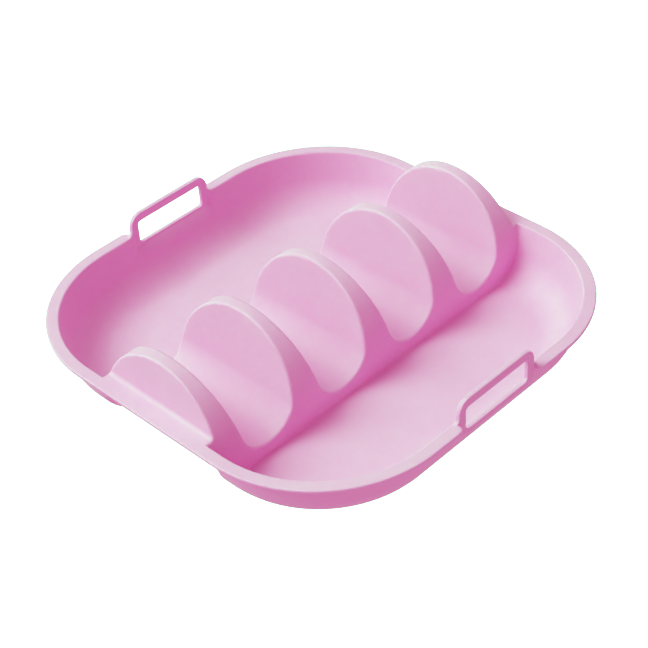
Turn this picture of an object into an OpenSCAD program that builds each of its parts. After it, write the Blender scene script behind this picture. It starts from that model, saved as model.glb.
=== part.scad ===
// Divided silicone baking tray: a rounded-square pan split in two by a hollow ridge of
// five upright dividers, with a flat rim and a loop handle at the middle of two sides.
//
// Frame: the origin is the centre of the underside, on the surface that the tray rests on.
// +Z is up, the ridge runs along Y, and the handles are at -X (left) and +X (right).
// The real tray is one moulding. Each node is one region of it, and neighbours meet face to
// face, except where a handle loop bends: there the loop turns in a shallow seat.

/* [Pan] */
// Outside length of each side of the rim
pan_side = 200; // [192:1:216]
// Outside radius of the rim's corners
corner_r = 60; // [57:1:64]
// Height from the underside to the top of the rim
pan_h = 26.5; // [25:0.5:30]
// Thickness of the silicone
wall = 2; // [1.6:0.1:2.3]
// Outward lean of the pan's wall, in degrees
draft = 14; // [10:1:16]
// Inside radius where the wall turns into the floor
floor_fillet = 16; // [13:1:17]

/* [Rim] */
// Width of the flat rim
rim_w = 5.6; // [5:0.2:6.4]
// Thickness of the flat rim
rim_t = 1.8; // [1.4:0.1:2.2]
// Depth of the shelf at each end of the ridge, from the rim's outer edge to the end divider
shelf = 9.4; // [8.5:0.1:11]

/* [Ridge] */
// Radius of the dividers' round outline
arch_r = 33.3; // [32.6:0.1:34]
// How far the centre of the round outline lies below the rim
arch_drop = 12.7; // [12.2:0.1:14]
// Width of the ridge where it meets the floor
foot_w = 65; // [64:0.2:67]
// Thickness of a divider at the height of the rim
divider_t = 12.8; // [12:0.2:13.4]
// Lean of the dividers' faces, in degrees
divider_draft = 10; // [8:0.5:10.5]
// From the middle of an end divider to its outer face, at the height of the rim
end_out = 5.3; // [5:0.1:5.8]
// Lean of the end dividers' outer faces, in degrees
end_draft = 5.7; // [4:0.1:6]
// Height of the solid top of each divider, above its hollow
solid_top = 4.5; // [4.2:0.1:6]
// Height of the lowest line of each channel above the pan's floor
channel_clear = 6.3; // [5.5:0.1:8]

/* [Handles] */
// Outside width of a handle
handle_w = 46.4; // [45.6:0.2:50]
// Thickness of a handle
handle_t = 2.3; // [2.2:0.1:2.8]
// Height of a handle above the rim
handle_up = 9.9; // [9.6:0.1:12]
// Depth of a handle's pad below the rim
pad_down = 8.4; // [8:0.2:9]
// Width of the finger window
window_w = 37.8; // [36:0.2:38.2]
// Height of the finger window above the rim
window_up = 5.6; // [5.4:0.1:6]
// Depth of the finger window below the rim
window_down = 5.7; // [5:0.1:6]
// Height above the rim at which the loop bends
bend_up = 3.9; // [3.7:0.1:4.1]

/* [Hidden] */
$fn = 96;

silicone = [0.89, 0.69, 0.82];
far = 400;                                      // longer than anything in the tray
over = 1;                                       // a cut or a blank runs past its work by this
half = pan_side / 2;
corner_at = half - corner_r;                    // the corners' centres, along X and Y
under_rim = pan_h - rim_t;                      // height of the rim's underside

// The wall: a leaning line and a fillet, at two distances from the pan's inside.
fillet_z = wall + floor_fillet;
fillet_at = wall_line(rim_w, fillet_z) - floor_fillet / cos(draft);
outer_inset = rim_w - wall / cos(draft);

// The ridge: an arch along Y, crossed by channels along X.
arch_z = pan_h - arch_drop;
foot_overlap = 6;                               // the end walls start this far inside the ridge
divider_count = 5;
pitch = 2 * (half - shelf - end_out) / (divider_count - 1);
channel_low = wall + channel_clear;
channel_half = (pitch - divider_t) / 2;         // half the gap between dividers, at rim height
channel_z = pan_h + (channel_low - pan_h + channel_half * cos(divider_draft))
                    / (1 - sin(divider_draft));
channel_r = channel_z - channel_low;

// The handles.
handle_step = 0.1;                              // from the rim's inner edge out to the plate
handle_x = half - rim_w + handle_step;          // inner face of the handle's plate
bend_x = handle_x + handle_t / 2;
bend_z = pan_h + bend_up;
seat_gap = 0.25;                                // clearance round the loop's rounded ends
seat_drop = 1.1;                                // the seat's top lies this far below the bend
handle_corner = 6;
window_corner = 1.6;
pad_chamfer = [4.5, 1.6];                       // cut across the pad's lower corners
recess_w = window_w + 5;                        // the wall is flat round the window, inside
recess_low = 0.6;                               // the recess starts this far below the window
recess_deep = 6;                                // and reaches further in than the wall

// Distance of the wall's leaning line from a corner's axis, at height z.
function wall_line(inset, z) = corner_r - inset - (pan_h - z) * tan(draft);

// Middle of divider n, counted from the front.
function divider_y(n) = (n - (divider_count + 1) / 2) * pitch;

// ---- Profiles ----

// All that lies inside the leaning line and the fillet, from a corner's axis outward.
module inside_wall(inset, fillet, top) {
    union() {
        polygon([[0, fillet_z - fillet],
                 [fillet_at, fillet_z - fillet],
                 [fillet_at + fillet * cos(draft), fillet_z - fillet * sin(draft)],
                 [wall_line(inset, top), top],
                 [0, top]]);
        intersection() {
            translate([fillet_at, fillet_z]) circle(fillet);
            square([far, far]);
        }
    }
}

// The pan's wall and the floor next to it, one thickness of silicone.
module pan_profile(top) {
    difference() {
        inside_wall(outer_inset, floor_fillet + wall, top);
        inside_wall(rim_w, floor_fillet, far);
    }
}

// The flat rim, with the wall's lean on its inner edge.
module rim_profile() {
    polygon([[wall_line(rim_w, under_rim), under_rim],
             [corner_r, under_rim],
             [corner_r, pan_h],
             [wall_line(rim_w, pan_h), pan_h]]);
}

// The ridge's outline, set in by one thickness where it is hollow.
module arch_profile(inset) {
    foot = foot_w / 2 - inset;
    union() {
        polygon([[-foot, 0], [foot, 0], [foot, wall], [arch_r - inset, arch_z],
                 [inset - arch_r, arch_z], [-foot, wall]]);
        intersection() {
            translate([0, arch_z]) circle(arch_r - inset);
            translate([-far, arch_z]) square([2 * far, far]);
        }
    }
}

// The space between two dividers: leaning sides and a round bottom, grown by grow.
module channel_profile(grow) {
    r = channel_r + grow;
    side = r * cos(divider_draft);
    side_z = channel_z - r * sin(divider_draft);
    rise = far / 4;
    spread = rise * tan(divider_draft);
    union() {
        polygon([[-side, side_z], [side, side_z],
                 [side + spread, side_z + rise], [-side - spread, side_z + rise]]);
        translate([0, channel_z]) circle(r);
    }
}

// How far a divider's leaning face is from its middle at height z. The face is out from the
// middle at the height of the rim, and set in by inset.
function face_at(out, lean, inset, z) = out + (pan_h - z) * tan(lean) - inset / cos(lean);

// A divider's section up to height high, set in by inset from the leaning faces. The end
// divider's outer face, at +Y, is steeper than the others.
module divider_profile(inset, high, is_end) {
    out = is_end ? end_out : divider_t / 2;
    lean = is_end ? end_draft : divider_draft;
    polygon([[-face_at(divider_t / 2, divider_draft, inset, under_rim), under_rim],
             [face_at(out, lean, inset, under_rim), under_rim],
             [face_at(out, lean, inset, high), high],
             [-face_at(divider_t / 2, divider_draft, inset, high), high]]);
}

// The whole handle seen from the side: pad, legs and loop, with the finger window cut out.
module handle_profile() {
    side = handle_w / 2;
    top = pan_h + handle_up;
    pad = pan_h - pad_down;
    difference() {
        union() {
            polygon([[-side + pad_chamfer[0], pad], [side - pad_chamfer[0], pad],
                     [side, pad + pad_chamfer[1]], [side, top - handle_corner],
                     [-side, top - handle_corner], [-side, pad + pad_chamfer[1]]]);
            for (s = [-1, 1])
                translate([s * (side - handle_corner), top - handle_corner])
                    circle(handle_corner);
            translate([handle_corner - side, top - handle_corner])
                square([handle_w - 2 * handle_corner, handle_corner]);
        }
        window_profile();
    }
}

module window_profile() {
    low = pan_h - window_down;
    tall = window_up + window_down;
    c = window_corner;
    union() {
        translate([c - window_w / 2, low]) square([window_w - 2 * c, tall]);
        translate([-window_w / 2, low + c]) square([window_w, tall - 2 * c]);
        for (s = [-1, 1], z = [low + c, low + tall - c])
            translate([s * (window_w / 2 - c), z]) circle(c);
    }
}

// ---- Placing profiles ----

// A profile drawn as [y, z], run along X from x0 to x1.
module along_x(x0, x1) {
    translate([x0, 0, 0])
        rotate([90, 0, 90])
            linear_extrude(x1 - x0)
                children();
}

// A profile drawn as [x, z], run along Y from y0 to y1.
module along_y(y0, y1) {
    translate([0, y1, 0])
        rotate([90, 0, 0])
            linear_extrude(y1 - y0)
                children();
}

// A profile drawn from a corner's axis outward, turned round the corner at +X, +Y.
module round_corner() {
    translate([corner_at, corner_at, 0])
        rotate_extrude(angle = 90)
            children();
}

// The space between heights z0 and z1.
module level(z0, z1) {
    translate([-far / 2, -far / 2, z0]) cube([far, far, z1 - z0]);
}

// The space where a handle takes the place of the wall and the rim, at +X.
module handle_space() {
    translate([corner_at, -handle_w / 2, pan_h - pad_down])
        cube([far, handle_w, far]);
}

// ---- The pan ----

// The right half: two corners, the side between them, the ends up to the ridge, and the floor.
module pan_half() {
    difference() {
        union() {
            for (m = [0, 1])
                mirror([0, m, 0]) {
                    round_corner() pan_profile(under_rim);
                    along_x(foot_w / 2 - foot_overlap, corner_at)
                        translate([corner_at, 0]) pan_profile(under_rim);
                }
            along_y(-corner_at, corner_at)
                translate([corner_at, 0]) pan_profile(under_rim);
            translate([foot_w / 2, -corner_at, 0])
                cube([corner_at - foot_w / 2, 2 * corner_at, wall]);
        }
        along_y(-far, far) arch_profile(0);
        handle_space();
    }
}

module right_pan() { color(silicone) pan_half(); }
module left_pan() { color(silicone) mirror([1, 0, 0]) pan_half(); }

// ---- The rim ----

// The rim from one handle to the other round the +Y side, with the shelf before the ridge.
module rim_half() {
    union() {
        difference() {
            union() {
                for (m = [0, 1])
                    mirror([m, 0, 0]) {
                        round_corner() rim_profile();
                        along_y(handle_w / 2, corner_at)
                            translate([corner_at, 0]) rim_profile();
                    }
                along_x(-corner_at, corner_at)
                    translate([corner_at, 0]) rim_profile();
            }
            along_y(0, far) arch_profile(0);
        }
        intersection() {
            along_y(divider_y(divider_count), half) arch_profile(0);
            difference() {
                level(under_rim, pan_h);
                along_x(-far / 2, far / 2)
                    translate([divider_y(divider_count), 0])
                        divider_profile(0, pan_h + over, true);
            }
        }
    }
}

module back_rim() { color(silicone) rim_half(); }
module front_rim() { color(silicone) mirror([0, 1, 0]) rim_half(); }

// ---- The ridge ----

// The ridge below the rim, from divider n to the next: two side walls and the round channel
// floor between them, open underneath. The first and last run on to the pan's end walls.
module channel(n) {
    y0 = n == 1 ? -half : divider_y(n);
    y1 = n == divider_count - 1 ? half : divider_y(n + 1);
    middle = (divider_y(n) + divider_y(n + 1)) / 2;
    difference() {
        intersection() {
            along_y(y0, y1) arch_profile(0);
            level(0, under_rim);
            pan_ends();
        }
        along_x(-far / 2, far / 2) translate([middle, 0]) channel_profile(0);
        difference() {
            along_y(y0 - over, y1 + over) arch_profile(wall);
            along_x(-far / 2, far / 2) translate([middle, 0]) channel_profile(wall);
        }
    }
}

// All that lies inside the outer faces of the pan's two end walls.
module pan_ends() {
    along_x(-foot_w, foot_w)
        union()
            for (m = [0, 1])
                mirror([m, 0]) {
                    square([corner_at, under_rim]);
                    translate([corner_at, 0])
                        inside_wall(outer_inset, floor_fillet + wall, under_rim);
                }
}

module channel_1() { color(silicone) channel(1); }
module channel_2() { color(silicone) channel(2); }
module channel_3() { color(silicone) channel(3); }
module channel_4() { color(silicone) channel(4); }

// A hollow upright divider, open underneath, standing on the ridge at the rim's underside.
module divider(n) {
    top = arch_z + arch_r;
    is_end = n == 1 || n == divider_count;
    translate([0, divider_y(n), 0])
        mirror([0, n == 1 ? 1 : 0, 0])
            difference() {
                intersection() {
                    along_y(-divider_t, divider_t) arch_profile(0);
                    along_x(-arch_r, arch_r) divider_profile(0, top + over, is_end);
                }
                intersection() {
                    along_y(-divider_t, divider_t) arch_profile(wall);
                    along_x(-arch_r, arch_r) divider_profile(wall, top - solid_top, is_end);
                }
            }
}

module divider_1() { color(silicone) divider(1); }
module divider_2() { color(silicone) divider(2); }
module divider_3() { color(silicone) divider(3); }
module divider_4() { color(silicone) divider(4); }
module divider_5() { color(silicone) divider(5); }

// ---- The handles ----

// The fixed part: the pad, the wall behind it and the lower ends of the legs, each with a
// shallow seat for the loop.
module handle_base() {
    difference() {
        union() {
            intersection() {
                along_x(handle_x, handle_x + handle_t) handle_profile();
                level(0, bend_z - seat_drop);
            }
            difference() {
                intersection() {
                    along_y(-handle_w / 2, handle_w / 2)
                        translate([corner_at, 0]) pan_profile(pan_h);
                    handle_space();
                }
                along_x(corner_at, half + over) window_profile();
                recess();
            }
        }
        translate([bend_x, 0, bend_z])
            rotate([90, 0, 0])
                cylinder(h = far, r = handle_t / 2 + seat_gap, center = true);
    }
}

// The space that is cleared of the leaning wall, so that the plate is flat inside too.
module recess() {
    low = pan_h - window_down - recess_low;
    along_y(-recess_w / 2, recess_w / 2)
        polygon([[handle_x, low], [handle_x, far],
                 [handle_x - recess_deep, far], [handle_x - recess_deep, low - recess_deep]]);
}

module right_handle_base() { color(silicone) handle_base(); }
module left_handle_base() { color(silicone) mirror([1, 0, 0]) handle_base(); }

// The loop: the upper ends of the legs and the bar across them. The legs' ends are rounded
// about the line on which the loop bends.
module handle_loop() {
    intersection() {
        along_x(handle_x, handle_x + handle_t) handle_profile();
        union() {
            level(bend_z, far);
            translate([bend_x, 0, bend_z])
                rotate([90, 0, 0])
                    cylinder(h = far, r = handle_t / 2, center = true);
        }
    }
}

module right_handle() { color(silicone) handle_loop(); }
module left_handle() { color(silicone) mirror([1, 0, 0]) handle_loop(); }

left_pan();
right_pan();
front_rim();
back_rim();
channel_1();
channel_2();
channel_3();
channel_4();
divider_1();
divider_2();
divider_3();
divider_4();
divider_5();
left_handle_base();
right_handle_base();
left_handle();
right_handle();
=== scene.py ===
"""Divided silicone baking tray: one soft moulding, with a loop handle at each side.

The tray is described once, as a solid: a function gives the distance of any point from the
moulding's surface, with every fillet and rounded edge in it. A mesh is laid on that surface,
and cut through the handles' legs, where the moulding starts to bend.
Lengths in the shape functions are in millimetres, in the CAD model's frame.
"""

import math

import bpy
import numpy as np
from mathutils import Matrix, Vector


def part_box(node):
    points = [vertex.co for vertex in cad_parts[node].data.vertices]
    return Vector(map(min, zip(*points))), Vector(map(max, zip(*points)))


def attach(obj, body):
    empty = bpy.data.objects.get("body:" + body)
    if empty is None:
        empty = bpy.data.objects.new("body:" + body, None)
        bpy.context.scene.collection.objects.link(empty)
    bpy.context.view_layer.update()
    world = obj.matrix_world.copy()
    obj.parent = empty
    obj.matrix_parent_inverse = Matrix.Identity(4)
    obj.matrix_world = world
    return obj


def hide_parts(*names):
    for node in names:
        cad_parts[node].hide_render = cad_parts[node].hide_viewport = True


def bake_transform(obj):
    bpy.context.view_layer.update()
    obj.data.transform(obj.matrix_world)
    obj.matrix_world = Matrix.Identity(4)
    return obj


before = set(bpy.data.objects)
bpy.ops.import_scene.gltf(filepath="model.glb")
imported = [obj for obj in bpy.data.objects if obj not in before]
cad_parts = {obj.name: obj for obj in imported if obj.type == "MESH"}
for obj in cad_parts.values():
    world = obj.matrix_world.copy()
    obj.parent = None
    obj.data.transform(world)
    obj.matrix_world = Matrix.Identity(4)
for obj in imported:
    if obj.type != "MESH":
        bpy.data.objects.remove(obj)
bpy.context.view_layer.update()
MM = 0.001


def box_mm(node):
    low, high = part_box(node)
    return low / MM, high / MM


# ---- Sizes that the frame gives ----

RIM_HALF = box_mm("back_rim")[1].y
RIM_UNDER = box_mm("back_rim")[0].z
RIM_TOP = box_mm("back_rim")[1].z
LOOP_TOP = box_mm("right_handle")[1].z
PLATE_IN = box_mm("right_handle")[0].x
PLATE_OUT = box_mm("right_handle")[1].x
PAD_HALF = box_mm("right_handle_base")[1].y
PAD_LOW = box_mm("right_handle_base")[0].z
PITCH = sum(corner.y for corner in box_mm("divider_4")) / 2
LAST_DIVIDER = 2 * PITCH

# ---- Sizes of the moulding ----

WALL = 2.0
CORNER_R = 60.0
RIM_W = 5.6
DRAFT = math.radians(14)
FLOOR_FILLET = 16.0
ARCH_R = 33.3
ARCH_Z = RIM_TOP - 12.7
FOOT_HALF = 32.5
DIVIDER_HALF = 6.4
DIVIDER_DRAFT = math.radians(10)
END_OUT = 5.3
END_DRAFT = math.radians(5.7)
HOLLOW_TOP = ARCH_Z + ARCH_R - 4.5
CHANNEL_LOW = WALL + 6.3
WINDOW_HALF = 18.9
WINDOW_LOW = RIM_TOP - 5.7
WINDOW_HIGH = RIM_TOP + 5.6
WINDOW_CORNER = 1.7
LOOP_HALF = 22.9
LOOP_CORNER = 6.0
PAD_CHAMFER = (4.5, 1.6)
RECESS_HALF = 21.5
RECESS_LOW = WINDOW_LOW - 0.6
RECESS_DEEP = 6.0

# Rounded edges and fillets.
RIM_INNER_EDGE = 0.6
RIM_OUTER_EDGE = 0.5
RIM_END = 2.75
UNDER_RIM = 1.0
DIVIDER_EDGE = 0.95
SHELF_EDGE = 0.8
SHELF_FILLET = 1.6
FOOT_FILLET = 0.6
MOUTH_EDGE = 4.0
UNDERSIDE_EDGE = 1.2
HANDLE_EDGE = 0.45
HANDLE_BEND = 0.3
RECESS_EDGE = 2.0
LEG_FLARE = 2.6
FLARE_HALF = 27.0
PAD_FILLET = 0.6

# How far below the rim, or above the floor, some of them fade to nothing.
FADE_START = 1.0
FOOT_FADE = 3.0
PAD_FADE = 2.0
MOUTH_FADE = 4.0

# Derived.
CORNER_AT = RIM_HALF - CORNER_R
FILLET_Z = WALL + FLOOR_FILLET
FILLET_AT = (CORNER_R - RIM_W - (RIM_TOP - FILLET_Z) * math.tan(DRAFT)
             - FLOOR_FILLET / math.cos(DRAFT))
ARCH_LEAN = (math.acos(ARCH_R / math.hypot(FOOT_HALF, ARCH_Z - WALL))
             - math.atan2(ARCH_Z - WALL, FOOT_HALF))
CHANNEL_HALF = PITCH / 2 - DIVIDER_HALF
CHANNEL_Z = RIM_TOP + ((CHANNEL_LOW - RIM_TOP + CHANNEL_HALF * math.cos(DIVIDER_DRAFT))
                       / (1 - math.sin(DIVIDER_DRAFT)))
CHANNEL_R = CHANNEL_Z - CHANNEL_LOW
BEND_LOW = RIM_TOP + 1.9

# ---- Distances: negative inside, positive outside ----


def round_union(a, b, radius):
    """Two solids in one, with a fillet of this radius where they meet."""
    near = np.hypot(np.maximum(radius - a, 0), np.maximum(radius - b, 0))
    return np.maximum(radius, np.minimum(a, b)) - near


def round_common(a, b, radius):
    """What two solids share, with its edge rounded to this radius."""
    return -round_union(-a, -b, radius)


def rounded_box(a, b, half_a, half_b, radius):
    a, b = a - half_a + radius, b - half_b + radius
    outside = np.hypot(np.maximum(a, 0), np.maximum(b, 0))
    return outside + np.minimum(np.maximum(a, b), 0) - radius


def round_then_leaning(across, along, lean, radius):
    """A circle that runs on as a straight line, leaning outward, past its tangent point."""
    cos, sin = math.cos(lean), math.sin(lean)
    circle = np.hypot(across, along)
    line = across * cos - along * sin
    return np.where(across * sin + along * cos < 0, circle, line) - radius


def ramp(t):
    """From 0 to 1 and no further."""
    return np.clip(t, 0, 1)


def pan_hollow(x, y, z):
    """The space inside the pan, as if it had no ridge; and the distance from the corner's axis."""
    a, b = x - CORNER_AT, y - CORNER_AT
    out = np.where((a > 0) & (b > 0), np.hypot(a, b), np.maximum(a, b))
    cos, sin = math.cos(DRAFT), math.sin(DRAFT)
    wall = (out - CORNER_R + RIM_W) * cos + (RIM_TOP - z) * sin
    flat = np.maximum(wall, WALL - z)
    across, along = out - FILLET_AT, z - FILLET_Z
    in_fillet = (across > 0) & (across * sin + along * cos < 0)
    return np.where(in_fillet, np.hypot(across, along) - FLOOR_FILLET, flat), out


def ridge_and_core(x, y, z):
    """The ridge with its dividers as a full solid, and the hollow under it."""
    arch = round_then_leaning(x, ARCH_Z - z, ARCH_LEAN, ARCH_R)
    middle = np.where(y < PITCH, PITCH / 2, 1.5 * PITCH)
    channel = round_then_leaning(np.abs(y - middle), z - CHANNEL_Z, DIVIDER_DRAFT, CHANNEL_R)
    end_face = ((y - LAST_DIVIDER - END_OUT) * math.cos(END_DRAFT)
                + (z - RIM_TOP) * math.sin(END_DRAFT))
    over_shelf = round_common(-end_face, RIM_TOP - z, SHELF_FILLET)
    ridge = round_common(arch, -channel, DIVIDER_EDGE)
    ridge = round_common(ridge, -over_shelf, SHELF_EDGE)
    shelf = np.maximum(-end_face - WALL, RIM_UNDER - z)
    core = round_common(arch + WALL, WALL - channel, DIVIDER_EDGE)
    core = round_common(core, -shelf, SHELF_EDGE)
    return ridge, round_common(core, z - HOLLOW_TOP, DIVIDER_EDGE)


def window_recess(x, y, z):
    """The space that leaves the wall flat round a window, with sides that slope at 45 degrees."""
    depth = x - PLATE_IN
    slopes = np.maximum(depth - z + RECESS_LOW, depth + y - RECESS_HALF) * math.sqrt(0.5)
    return np.maximum(np.maximum(depth, -depth - RECESS_DEEP), slopes)


def handle_outline(y, z):
    """A handle seen from the side: loop, flared legs and pad, without its window."""
    loop = rounded_box(y, z - LOOP_TOP, LOOP_HALF, 0, LOOP_CORNER)
    loop = round_union(loop, z - RIM_TOP, LEG_FLARE)
    loop = np.maximum(np.maximum(loop, y - FLARE_HALF), RIM_UNDER - z)
    cut_y, cut_z = PAD_CHAMFER
    chamfer = (y - PAD_HALF) * cut_z - (z - PAD_LOW - cut_z) * cut_y
    pad = np.maximum(np.maximum(y - PAD_HALF, PAD_LOW - z), chamfer / math.hypot(cut_y, cut_z))
    return np.minimum(loop, np.maximum(pad, z - RIM_TOP))


def window(y, z):
    middle, half = (WINDOW_LOW + WINDOW_HIGH) / 2, (WINDOW_HIGH - WINDOW_LOW) / 2
    return rounded_box(y, np.abs(z - middle), WINDOW_HALF, half, WINDOW_CORNER)


def moulding(x, y, z):
    """Distance from the surface of the whole tray."""
    x, y = np.abs(x), np.abs(y)
    side = CORNER_R - x                      # negative near the handles
    below_rim = RIM_TOP - FADE_START - z
    hollow, out = pan_hollow(x, y, z)
    ridge, core = ridge_and_core(x, y, z)

    edge = (UNDERSIDE_EDGE
            + (MOUTH_EDGE - UNDERSIDE_EDGE) * ramp((z - FADE_START) / MOUTH_FADE))
    skin = round_common(hollow - WALL, -core, edge)
    gap = np.maximum(y - PAD_HALF, side)
    rim = round_common(out - CORNER_R, -gap, RIM_END)
    rim = round_common(rim, RIM_UNDER - z, RIM_OUTER_EDGE)
    outside = np.maximum(round_union(skin, rim, UNDER_RIM), -core)

    hollow = round_union(hollow, window_recess(x, y, z), RECESS_EDGE)
    food = round_union(hollow, RIM_TOP - z, RIM_INNER_EDGE)
    food = round_common(food, -ridge, FOOT_FILLET * ramp(below_rim / FOOT_FADE))
    body = round_common(outside, -food, RIM_OUTER_EDGE)

    before_plate = round_common(hollow, x - PLATE_IN, HANDLE_BEND)
    handle = np.maximum(np.maximum(x - PLATE_OUT, -before_plate), side)
    handle = round_common(handle, handle_outline(y, z), HANDLE_EDGE)
    fillet = PAD_FILLET * ramp(hollow / WALL) * ramp(below_rim / PAD_FADE)
    whole = round_union(body, handle, fillet)
    return round_common(whole, -np.maximum(window(y, z), side), HANDLE_EDGE)


SLOPE_STEP = 0.02
NET_PASSES = 5                               # of moving the points onto the surface
LEAST_STEEPNESS = 0.04                       # so that no such move is wild at a sharp valley
EVEN_PASSES = 3                              # of sliding the points apart
TURNED_OVER = 0.35                           # cosine at which a face no longer faces outward
IN_HANDLE = PLATE_IN - 2                     # only the handles lie further out than this
# Blocks of cells whose points are joined: cells a side, and the turn of the surface allowed.
BLOCKS = ((4, math.radians(5)), (2, math.radians(9)))


def gradient(points, step=SLOPE_STEP):
    """Direction in which the distance grows, at each point."""
    slopes = np.empty_like(points)
    for axis in range(3):
        shift = np.zeros(3)
        shift[axis] = step
        slopes[:, axis] = moulding(*(points + shift).T) - moulding(*(points - shift).T)
    return slopes / (2 * step)


# ---- A mesh on the surface: one quarter of the tray, then its mirror images ----


def levels(start, *stretches):
    """Grid levels: each stretch is (end, spacing)."""
    found = [start]
    for end, spacing in stretches:
        found.extend(np.linspace(found[-1], end, round((end - found[-1]) / spacing) + 1)[1:])
    return np.array(found)


# The first cell in x and in y lies half on each side of the tray's middle plane.
ACROSS = levels(-0.45, (25.65, 0.9), (34.4, 0.8), (CORNER_AT, 1.4), (90, 1.0), (93.2, 0.8),
                (101, 0.5))
ALONG = levels(-0.45, (17.5, 1.0), (28, 0.75), (36, 1.1), (CORNER_AT, 0.8), (49, 0.7),
               (79, 1.15), (93.2, 0.75), (101, 0.5))
UP = levels(-0.9, (5, 0.98), (17, 0.8), (24, 0.6), (27.1, 0.45), (BEND_LOW - 0.3, 0.53),
            (BEND_LOW + 0.3, 0.6), (38.2, 0.63), (48.2, 0.75))


def bend_corner(u, v):
    """Bends the square corner of the grid into the rim's round one."""
    a, b = u - CORNER_AT, v - CORNER_AT
    far, near = np.maximum(a, b), np.minimum(a, b)
    corner = near > 0
    turn = np.where(corner, near / np.where(corner, far, 1), 0) * math.pi / 4
    along, aside = far * np.cos(turn), far * np.sin(turn)
    x = np.where(corner, CORNER_AT + np.where(a >= b, along, aside), u)
    y = np.where(corner, CORNER_AT + np.where(a >= b, aside, along), v)
    return x, y


def surface_net():
    """One point in each grid cell that the surface crosses, and the faces that join them."""
    u, v = np.meshgrid(ACROSS, ALONG, indexing="ij")
    x, y = bend_corner(u, v)
    shape = (len(ACROSS), len(ALONG), len(UP))
    nodes = np.stack(np.broadcast_arrays(x[..., None], y[..., None], UP), axis=-1)
    distance = moulding(nodes[..., 0], nodes[..., 1], nodes[..., 2])
    inside = distance < 0
    cells = tuple(n - 1 for n in shape)
    total, count = np.zeros((*cells, 3)), np.zeros(cells)
    faces = []
    for axis in range(3):
        step = np.eye(3, dtype=int)[axis]
        near = tuple(slice(0, n - s) for n, s in zip(shape, step))
        far = tuple(slice(s, n) for n, s in zip(shape, step))
        start = np.array(np.nonzero(inside[near] != inside[far]))
        end = start + step[:, None]
        a, b = distance[tuple(start)], distance[tuple(end)]
        share = (a / (a - b))[:, None]
        crossing = nodes[tuple(start)] * (1 - share) + nodes[tuple(end)] * share
        corners, kept = [], np.ones(len(a), bool)
        for first, second in ((-1, -1), (0, -1), (0, 0), (-1, 0)):
            cell = start.copy()
            cell[(axis + 1) % 3] += first
            cell[(axis + 2) % 3] += second
            real = ((cell >= 0) & (cell < np.array(cells)[:, None])).all(axis=0)
            np.add.at(total, tuple(cell[:, real]), crossing[real])
            np.add.at(count, tuple(cell[:, real]), 1)
            kept &= real
            corners.append(np.ravel_multi_index(tuple(np.maximum(cell, 0)), cells, mode="clip"))
        face = np.stack(corners, axis=1)
        entering = ~inside[tuple(start)]
        face[entering] = face[entering][:, ::-1]
        faces.append(face[kept])
    used, faces = np.unique(np.concatenate(faces), return_inverse=True)
    faces = faces.reshape(-1, 4)
    points = total.reshape(-1, 3)[used] / count.reshape(-1)[used][:, None]
    return points, faces, np.stack(np.unravel_index(used, cells), axis=1)


def onto_surface(points, free):
    """Moves points along the surface's normal onto it; free says in which directions each may."""
    for _ in range(NET_PASSES):
        slope = gradient(points) * free
        steep = np.maximum((slope**2).sum(axis=1), LEAST_STEEPNESS)
        points = points - slope * (moulding(*points.T) / steep)[:, None]
    return points


def unit(vectors):
    return vectors / np.maximum(np.linalg.norm(vectors, axis=1), 1e-9)[:, None]


def edges(faces):
    """Every side of every face, as pairs of points. A triangle is a face with a point twice."""
    pairs = np.stack([faces, np.roll(faces, -1, axis=1)], axis=-1).reshape(-1, 2)
    return pairs[pairs[:, 0] != pairs[:, 1]]


def with_area(faces):
    """The faces that still have three different points or more."""
    repeats = (faces == np.roll(faces, 1, axis=1)).sum(axis=1)
    folded = (faces[:, 0] == faces[:, 2]) | (faces[:, 1] == faces[:, 3])
    return faces[(repeats < 2) & ~folded]


def tangled_points(points, faces):
    """Points where more than two faces share a side, where only two faces meet, or where a face
    is turned over."""
    directed = edges(faces)
    sides, uses = np.unique(np.sort(directed, axis=1), axis=0, return_counts=True)
    around = np.bincount(directed[:, 0], minlength=len(points))
    reached = np.bincount(sides.ravel(), minlength=len(points))
    corners = points[faces]
    facing = np.cross(corners[:, 2] - corners[:, 0], corners[:, 3] - corners[:, 1])
    outward = gradient(corners.mean(axis=1))
    turned = (unit(facing) * outward).sum(axis=1) < TURNED_OVER
    return np.concatenate([sides[uses > 2].ravel(), np.nonzero((around == 2) & (reached == 2))[0],
                           faces[turned].ravel()])


def middle_of(points, owner):
    """The mean of the points that share an owner, at the owner's place."""
    total = np.zeros_like(points)
    np.add.at(total, owner, points)
    return total / np.maximum(np.bincount(owner, minlength=len(points)), 1)[:, None]


def part_tangles(points, faces, owner):
    """Parts joined points again where joining them tangled the faces."""
    owner = owner.copy()
    own = np.arange(len(owner))
    while True:
        joined = with_area(owner[faces])
        knots = np.isin(joined, tangled_points(middle_of(points, owner), joined))
        tangled = np.isin(owner, joined[knots.any(axis=1)])
        if not (tangled & (owner != own)).any():
            return owner
        owner[tangled] = own[tangled]


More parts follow.
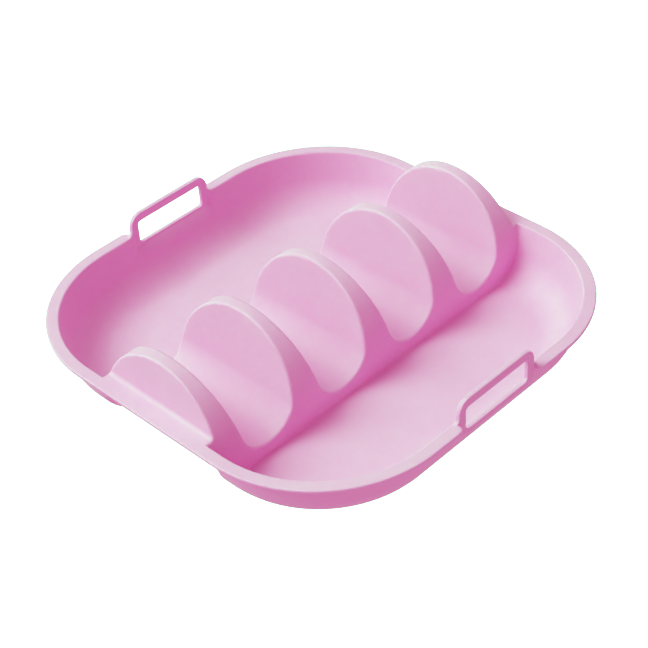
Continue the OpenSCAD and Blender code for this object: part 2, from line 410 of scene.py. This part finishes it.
def thin_out(points, faces, cells, fixed):
    """Joins the points of a block of cells where the surface is nearly flat there."""
    normals = unit(gradient(points))
    facing = np.abs(normals).argmax(axis=1)
    facing = facing * 2 + (normals[np.arange(len(points)), facing] > 0)
    on_planes = (cells[:, 0] == 0) * 2 + (cells[:, 1] == 0)
    owner = np.arange(len(points))
    loose = ~fixed
    for block, turn in BLOCKS:
        chosen = np.nonzero(loose)[0]
        key = np.column_stack([cells[chosen] // block, facing[chosen], on_planes[chosen]])
        _, group = np.unique(key, axis=0, return_inverse=True)
        group = group.ravel()
        size = np.bincount(group)
        mean = np.zeros((len(size), 3))
        np.add.at(mean, group, normals[chosen])
        mean = unit(mean)
        least = np.ones(len(size))
        np.minimum.at(least, group, (normals[chosen] * mean[group]).sum(axis=1))
        flat = ((least > math.cos(turn)) & (size > 1))[group]
        first = np.full(len(size), len(points))
        np.minimum.at(first, group, chosen)
        owner[chosen[flat]] = first[group[flat]]
        loose[chosen[flat]] = False
    owner = part_tangles(points, faces, owner)
    names, place = np.unique(owner, return_inverse=True)
    return middle_of(points, owner)[names], with_area(place[faces]), cells[names]


def evened(points, faces, free):
    """Slides points along the surface towards the middle of their neighbours."""
    pairs = edges(faces)
    pairs = np.concatenate([pairs, pairs[:, ::-1]])
    neighbours = np.bincount(pairs[:, 0], minlength=len(points))[:, None]
    for _ in range(EVEN_PASSES):
        middle = np.zeros_like(points)
        np.add.at(middle, pairs[:, 0], points[pairs[:, 1]])
        move = (middle / neighbours - points) * free
        normals = unit(gradient(points) * free)
        move -= normals * (move * normals).sum(axis=1)[:, None]
        points = onto_surface(points + 0.5 * move, free)
    return points


def hold(points, cells):
    """Which points ring the handles' legs at the cut, and the directions free to each point:
    the middle planes hold theirs across the plane, and the cut holds its points level."""
    at_cut = (cells[:, 2] == np.searchsorted(UP, BEND_LOW) - 1) & (points[:, 0] > IN_HANDLE)
    free = np.ones_like(points)
    free[cells[:, 0] == 0, 0] = 0
    free[cells[:, 1] == 0, 1] = 0
    free[at_cut, 2] = 0
    return at_cut, free


def quarter():
    """The quarter of the moulding at +X, +Y: points, faces, normals and what lies at the cut."""
    points, faces, cells = surface_net()
    at_cut, free = hold(points, cells)
    points = np.where(free == 1, points, (0, 0, BEND_LOW))
    points = onto_surface(points, free)
    points, faces, cells = thin_out(points, faces, cells, at_cut)
    at_cut, free = hold(points, cells)
    points = evened(onto_surface(points, free), faces, free)
    return points, faces, unit(gradient(points)), at_cut


def whole_tray():
    """The quarter and its three mirror images, joined on the middle planes."""
    points, faces, normals, at_cut = quarter()
    count = len(points)
    on_planes = np.stack([points[:, 0] == 0, points[:, 1] == 0], axis=1)
    all_points, all_normals, all_faces, place = [], [], [], []
    for number, signs in enumerate(((1, 1), (-1, 1), (1, -1), (-1, -1))):
        sign = np.array([*signs, 1])
        all_points.append(points * sign)
        all_normals.append(normals * sign)
        own = np.arange(count) + number * count
        for axis in (0, 1):
            if signs[axis] < 0:
                own[on_planes[:, axis]] -= count << axis
        place.append(own)
        turned = faces if sign.prod() > 0 else faces[:, ::-1]
        all_faces.append(own[turned])
    return (np.concatenate(all_points), np.concatenate(all_faces),
            np.concatenate(all_normals), np.tile(at_cut, 4))


# ---- Pieces ----


def open_rings(faces):
    """The rings of points round the holes that the cut left in these faces."""
    sides = edges(faces).tolist()
    used = {tuple(side) for side in sides}
    following = {b: a for a, b in sides if (b, a) not in used}
    rings = []
    while following:
        first, point = following.popitem()
        ring = [first]
        while point != first:
            ring.append(point)
            point = following.pop(point)
        rings.append(ring)
    return rings


def piece(name, points, faces, normals, cap_up):
    """A smooth object from part of the tray's mesh, closed where it was cut."""
    polygons, corner_normals = [], []
    for face in faces.tolist():
        corners = [point for number, point in enumerate(face) if point != face[number - 1]]
        polygons.append(corners)
        corner_normals.extend(normals[corners].tolist())
    for ring in open_rings(faces):
        polygons.append(ring)
        corner_normals.extend([(0, 0, cap_up)] * len(ring))
    used = np.unique(faces)
    place = np.zeros(len(points), int)
    place[used] = np.arange(len(used))
    mesh = bpy.data.meshes.new(name)
    mesh.from_pydata((points[used] * MM).tolist(), [],
                     [place[polygon].tolist() for polygon in polygons])
    mesh.shade_smooth()
    mesh.normals_split_custom_set(corner_normals)
    obj = bpy.data.objects.new(name, mesh)
    bpy.context.scene.collection.objects.link(obj)
    return obj


def make_pieces():
    """The moulding up to the handles' legs, which rides on the tray; and the two loops."""
    points, faces, normals, at_cut = whole_tray()
    above = at_cut | ((points[:, 2] > BEND_LOW) & (np.abs(points[:, 0]) > IN_HANDLE))
    in_loop = above[faces].all(axis=1)
    on_right = points[faces[:, 0], 0] > 0
    loops = ("left_handle", "right_handle")
    tray = piece("tray_moulding", points, faces[~in_loop], normals, 1)
    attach(tray, "tray")
    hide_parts(*(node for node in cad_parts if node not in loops))
    made = [tray]
    for body, side in zip(loops, (-1, 1)):
        half = faces[in_loop & (on_right == (side > 0))]
        loop = piece(body + "_loop", points, half, normals, -1)
        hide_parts(body)
        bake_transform(loop)
        made.append(loop)
    return made


# ---- Material ----


class NodeTree:
    """Adds and links shader nodes, with their settings and values in one call."""

    def __init__(self, tree):
        self.tree = tree

    def add(self, kind, inputs=None, **settings):
        node = self.tree.nodes.new(kind)
        for name, value in settings.items():
            setattr(node, name, value)
        for socket, value in (inputs or {}).items():
            if isinstance(value, bpy.types.NodeSocket):
                self.tree.links.new(value, node.inputs[socket])
            else:
                node.inputs[socket].default_value = value
        return node

    def noise(self, where, scale, detail=2.0, roughness=0.5):
        node = self.add("ShaderNodeTexNoise",
                        {"Vector": where, "Scale": scale, "Detail": detail,
                         "Roughness": roughness})
        return node.outputs["Fac"]

    def ramp(self, factor, *stops):
        """A colour ramp; each stop is (place, colour)."""
        node = self.add("ShaderNodeValToRGB", {"Fac": factor})
        stop_list = node.color_ramp.elements
        while len(stop_list) < len(stops):
            stop_list.new(1)
        for stop, (place, colour) in zip(stop_list, stops):
            stop.position = place
            stop.color = (*colour, 1)
        return node.outputs["Color"]

    def blend(self, factor, a, b, how="MIX"):
        node = self.add("ShaderNodeMix", data_type="RGBA", blend_type=how)
        for socket, value in (("Factor", factor), ("A", a), ("B", b)):
            found = [s for s in node.inputs if s.name == socket and s.enabled][0]
            if isinstance(value, bpy.types.NodeSocket):
                self.tree.links.new(value, found)
            else:
                found.default_value = value
        return [s for s in node.outputs if s.enabled][0]

    def remap(self, value, from_low, from_high, to_low, to_high):
        node = self.add("ShaderNodeMapRange",
                        {"Value": value, "From Min": from_low, "From Max": from_high,
                         "To Min": to_low, "To Max": to_high})
        return node.outputs["Result"]


# The pigment, from its thickest to its thinnest, in linear colour.
DEEP_PINK = (0.82, 0.31, 0.61)
PINK = (0.84, 0.33, 0.63)
PALE_PINK = (0.86, 0.35, 0.65)
# Also the colour that convex edges are painted towards: partly wear, partly a painted highlight.
EDGE_PINK = (0.88, 0.42, 0.69)

# How many times each pattern repeats in a metre, roughly.
CLOUDS, RIPPLES, MOTTLES, GRAINS = 16, 60, 190, 2600
RIPPLE_HEIGHT, GRAIN_HEIGHT = 0.0006, 0.00004
MOST_MOTTLE, MOST_WEAR_AND_HIGHLIGHT = 0.12, 0.28          # how far towards the edge's paler pink: random mottle, and on edges wear with a painted highlight


def silicone():
    """Matte pigmented silicone: slightly uneven pigment, paler convex edges that are partly wear
    and partly a painted highlight, a fine moulded grain and a soft sheen where the light grazes
    it."""
    material = bpy.data.materials.new("pink_silicone")
    material.use_nodes = True
    net = NodeTree(material.node_tree)
    shader = material.node_tree.nodes["Principled BSDF"]
    where = net.add("ShaderNodeTexCoord").outputs["Object"]
    cloudy = net.noise(where, CLOUDS, 3, 0.55)
    mottled = net.noise(where, MOTTLES, 4, 0.6)
    grain = net.noise(where, GRAINS, 2, 0.5)
    ripple = net.noise(where, RIPPLES, 1, 0.4)

    pigment = net.ramp(cloudy, (0.30, DEEP_PINK), (0.50, PINK), (0.70, PALE_PINK))
    mottle = net.remap(mottled, 0.35, 0.65, 0.0, MOST_MOTTLE)
    pigment = net.blend(mottle, pigment, (*EDGE_PINK, 1))
    # Convex edges are painted towards the paler pink: partly wear, partly a painted highlight on
    # the rounded edges.
    sharp = net.add("ShaderNodeNewGeometry").outputs["Pointiness"]
    wear_and_highlight = net.remap(sharp, 0.52, 0.62, 0.0, MOST_WEAR_AND_HIGHLIGHT)
    colour = net.blend(wear_and_highlight, pigment, (*EDGE_PINK, 1))
    roughness = net.remap(mottled, 0.3, 0.7, 0.52, 0.66)

    coarse = net.add("ShaderNodeBump", {"Height": ripple, "Strength": 0.12,
                                        "Distance": RIPPLE_HEIGHT})
    fine = net.add("ShaderNodeBump", {"Height": grain, "Strength": 0.25,
                                      "Distance": GRAIN_HEIGHT,
                                      "Normal": coarse.outputs["Normal"]})
    links = material.node_tree.links
    links.new(colour, shader.inputs["Base Color"])
    links.new(roughness, shader.inputs["Roughness"])
    links.new(fine.outputs["Normal"], shader.inputs["Normal"])
    shader.inputs["IOR"].default_value = 1.41
    shader.inputs["Specular IOR Level"].default_value = 0.25
    shader.inputs["Subsurface Weight"].default_value = 0.35
    shader.inputs["Subsurface Radius"].default_value = (1.0, 0.35, 0.7)
    shader.inputs["Subsurface Scale"].default_value = 0.003
    shader.inputs["Sheen Weight"].default_value = 0.05
    shader.inputs["Sheen Roughness"].default_value = 0.5
    return material


# ---- Camera, lights and floor ----

AZIMUTH, ELEVATION, ROLL = map(math.radians, (46.496, 39.057, -4.080))
DISTANCE = 0.69504
LENS, SENSOR = 91.14, 36
AIM = Vector((0, 0, RIM_TOP * MM))
AIM_RIGHT, AIM_UP = 0.000927, -0.011911
FROM_ABOVE = (0.10, 0.10, 0.10)              # the studio's own light on the tray
FROM_BELOW = (0.30, 0.17, 0.235)
HORIZON = (0.1, 0.3)                         # from sine to sine of the height where they change
WHITE = (1, 1, 1, 1)                         # how the studio itself looks
FLOOR_HALF, FLOOR_GAP = 8, 0.0001
FILM = ((1.05, 0.355), (3.37, 0.97), (1.44, 0.61))      # gain and power of red, green, blue
FILM_STEPS = (0.01, 0.03, 0.06, 0.1, 0.16, 0.24, 0.36, 0.5, 0.7)


def place_camera():
    back = Vector((math.sin(AZIMUTH) * math.cos(ELEVATION),
                   -math.cos(AZIMUTH) * math.cos(ELEVATION), math.sin(ELEVATION)))
    right = Vector((math.cos(AZIMUTH), math.sin(AZIMUTH), 0))
    up = back.cross(right)
    data = bpy.data.cameras.new("camera")
    data.lens = LENS
    data.sensor_width = SENSOR
    data.clip_start = 0.01
    camera = bpy.data.objects.new("camera", data)
    turned_right = right * math.cos(ROLL) + up * math.sin(ROLL)
    turned_up = up * math.cos(ROLL) - right * math.sin(ROLL)
    place = AIM + back * DISTANCE + right * AIM_RIGHT + up * AIM_UP
    turn = Matrix((turned_right, turned_up, back)).transposed()
    camera.matrix_world = Matrix.Translation(place) @ turn.to_4x4()
    bpy.context.scene.collection.objects.link(camera)
    bpy.context.scene.camera = camera


def area_light(name, place, size, power, colour=(1, 1, 1)):
    data = bpy.data.lights.new(name, "AREA")
    data.shape = "SQUARE"
    data.size = size
    data.energy = power
    data.color = colour
    light = bpy.data.objects.new(name, data)
    place = Vector(place)
    light.matrix_world = (Matrix.Translation(place)
                          @ place.normalized().to_track_quat("Z", "Y").to_matrix().to_4x4())
    bpy.context.scene.collection.objects.link(light)
    return light


def fill_world():
    """A white studio whose walls look bright. The light that it throws on the tray is weaker:
    white from above the horizon, and pink from below, as off a floor beside pink silicone."""
    world = bpy.data.worlds.new("studio")
    world.use_nodes = True
    net = NodeTree(world.node_tree)
    background = world.node_tree.nodes["Background"]
    towards = net.add("ShaderNodeTexCoord").outputs["Generated"]
    height = net.add("ShaderNodeSeparateXYZ", {"Vector": towards}).outputs["Z"]
    thrown = net.ramp(net.remap(height, *HORIZON, 0, 1), (0, FROM_BELOW), (1, FROM_ABOVE))
    seen_directly = net.add("ShaderNodeLightPath").outputs["Is Camera Ray"]
    world.node_tree.links.new(net.blend(seen_directly, thrown, WHITE),
                              background.inputs["Color"])
    bpy.context.scene.world = world


def lay_floor():
    """A pale floor, bright enough of its own that the tray's shadow doesn't show on it, which
    throws no light back on the tray."""
    mesh = bpy.data.meshes.new("floor")
    far = FLOOR_HALF
    mesh.from_pydata([(-far, -far, 0), (far, -far, 0), (far, far, 0), (-far, far, 0)],
                     [], [(0, 1, 2, 3)])
    floor = bpy.data.objects.new("floor", mesh)
    floor.location.z = -FLOOR_GAP
    bpy.context.scene.collection.objects.link(floor)
    material = bpy.data.materials.new("pale_floor")
    material.use_nodes = True
    shader = material.node_tree.nodes["Principled BSDF"]
    shader.inputs["Base Color"].default_value = (0.9, 0.9, 0.9, 1)
    shader.inputs["Roughness"].default_value = 0.9
    shader.inputs["Emission Color"].default_value = WHITE
    shader.inputs["Emission Strength"].default_value = 1.0
    floor.visible_diffuse = False
    floor.visible_glossy = False
    mesh.materials.append(material)
    return floor


def set_film():
    """The tones of a bright product shot: red is compressed most and green least, so that lit
    silicone is pale, shaded silicone is deep pink, and the studio is white."""
    view = bpy.context.scene.view_settings
    view.view_transform = "Standard"
    view.look = "None"
    view.use_curve_mapping = True
    mapping = view.curve_mapping
    mapping.extend = "HORIZONTAL"
    for curve, (gain, power) in zip(mapping.curves, FILM):
        curve.points[0].location = (0, 0)
        curve.points[1].location = (1, 1)
        for light in FILM_STEPS:
            curve.points.new(light, min(gain * light**power, 1))
    mapping.update()


finish_of_tray = silicone()
for made_piece in make_pieces():
    made_piece.data.materials.append(finish_of_tray)
place_camera()
lay_floor()
fill_world()
area_light("key", (-1.5, -1.2, 2.2), 1.6, 26)
area_light("front_key", (-0.9, -1.9, 2.0), 1.2, 12)
area_light("overhead", (-0.8, -0.6, 2.8), 1.2, 7)
set_film()
